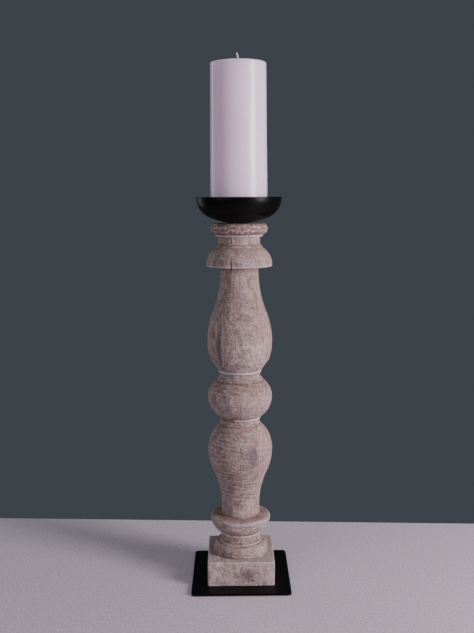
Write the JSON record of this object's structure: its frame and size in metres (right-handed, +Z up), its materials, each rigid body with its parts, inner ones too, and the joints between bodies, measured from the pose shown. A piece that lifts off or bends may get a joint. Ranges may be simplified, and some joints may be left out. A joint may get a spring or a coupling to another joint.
{
  "type": "candlestick",
  "caption": "Turned wooden baluster candlestick with a square plinth on a thin steel plate, a shallow steel bowl with a pricket on top, and a lift-off pillar candle.",
  "frame": {"origin": "on the ground, under the middle of the post", "axes": "+Z up along the post; -Y towards the viewer; +X to the right"},
  "size_m": [0.13, 0.13, 0.7053],
  "materials": {
    "wood": "limed, whitewashed, turned, waxed matt",
    "black_paint": "satin black paint on steel",
    "screw_steel": "zinc plated",
    "insert_brass": "turned brass",
    "pricket_steel": "turned steel",
    "wax": "smooth ivory candle wax",
    "wick": "braided cotton",
    "felt": "black felt"
  },
  "bodies": {
    "holder": {"left_outer_board": "wood", "left_inner_board": "wood", "right_inner_board": "wood", "right_outer_board": "wood", "base_plate": "black_paint", "plate_screws": "screw_steel", "felt_foot_front_left": "felt", "felt_foot_front_right": "felt", "felt_foot_rear_left": "felt", "felt_foot_rear_right": "felt", "threaded_insert": "insert_brass", "candle_bowl": "black_paint", "pricket_washer": "screw_steel", "pricket_spike": "pricket_steel"},
    "candle": {"candle_wax": "wax", "candle_wick": "wick"}
  },
  "joints": [
    {"name": "candle_lift", "type": "slide", "parent": "holder", "child": "candle", "axis": [0, 0, 1], "range_m": [0, 0.06]}
  ]
}
